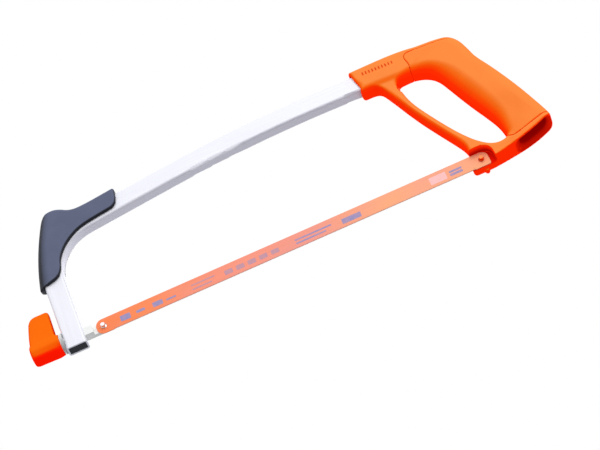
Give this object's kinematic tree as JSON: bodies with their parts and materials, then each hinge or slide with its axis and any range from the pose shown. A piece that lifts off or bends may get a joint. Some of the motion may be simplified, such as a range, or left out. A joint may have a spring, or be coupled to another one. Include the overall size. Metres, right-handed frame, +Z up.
{
  "type": "hacksaw",
  "caption": "Full-size hacksaw with a deep tubular frame, closed die-cast handle, wing-knob blade tensioner, covered front corner and a fitted fine-tooth blade.",
  "frame": {"origin": "midway between the two blade pin axes, on the plane of the blade's hidden face where it seats on the frame", "axes": "+X runs back along the blade towards the handle, +Z is up with the blade's teeth pointing down, +Y is the side away from the blade pins' free ends"},
  "size_m": [0.4141, 0.0242, 0.1314],
  "materials": {
    "frame_tube": "satin light grey powder coat",
    "leg_plug": "moulded black",
    "corner_cover": "matt slate blue",
    "rod_bush": "zinc plated",
    "tension_bar": "zinc plated",
    "front_blade_pin": "bright ground",
    "rear_blade_pin": "painted over with the casting",
    "thrust_washer": "zinc plated",
    "knob_nut": "zinc plated",
    "wing_knob": "moulded orange, lightly grained",
    "blade_back": "salmon lacquer with a plain marking band",
    "blade_edge": "lacquered cutting edge",
    "handle_body": "orange powder coat on a casting",
    "grip_sleeve": "soft orange moulding, matt",
    "socket_screws": "zinc plated"
  },
  "bodies": {
    "frame": {"frame_tube": "frame_tube", "leg_plug": "leg_plug", "corner_cover": "corner_cover", "rod_bush": "rod_bush", "thrust_washer": "thrust_washer", "handle_body": "handle_body", "grip_sleeve": "grip_sleeve", "rear_blade_pin": "rear_blade_pin", "socket_screws": "socket_screws"},
    "tensioner": {"tension_bar": "tension_bar", "front_blade_pin": "front_blade_pin"},
    "knob": {"wing_knob": "wing_knob", "knob_nut": "knob_nut"},
    "blade": {"blade_back": "blade_back", "blade_edge": "blade_edge"}
  },
  "joints": [
    {"name": "knob_spin", "type": "hinge", "parent": "frame", "child": "knob", "pos_m": [-0.19, 0, 0], "axis": [1, 0, 0], "range_deg": [-225, 0]},
    {"name": "bar_slide", "type": "slide", "parent": "frame", "child": "tensioner", "axis": [1, 0, 0], "range_m": [0, 0.00062]},
    {"name": "blade_lift", "type": "slide", "parent": "frame", "child": "blade", "axis": [0, -1, 0], "range_m": [0, 0.03]}
  ],
  "couplings": [
    {"joint": "knob_spin", "follows": "bar_slide", "rad_per_m": -6283.2}
  ]
}
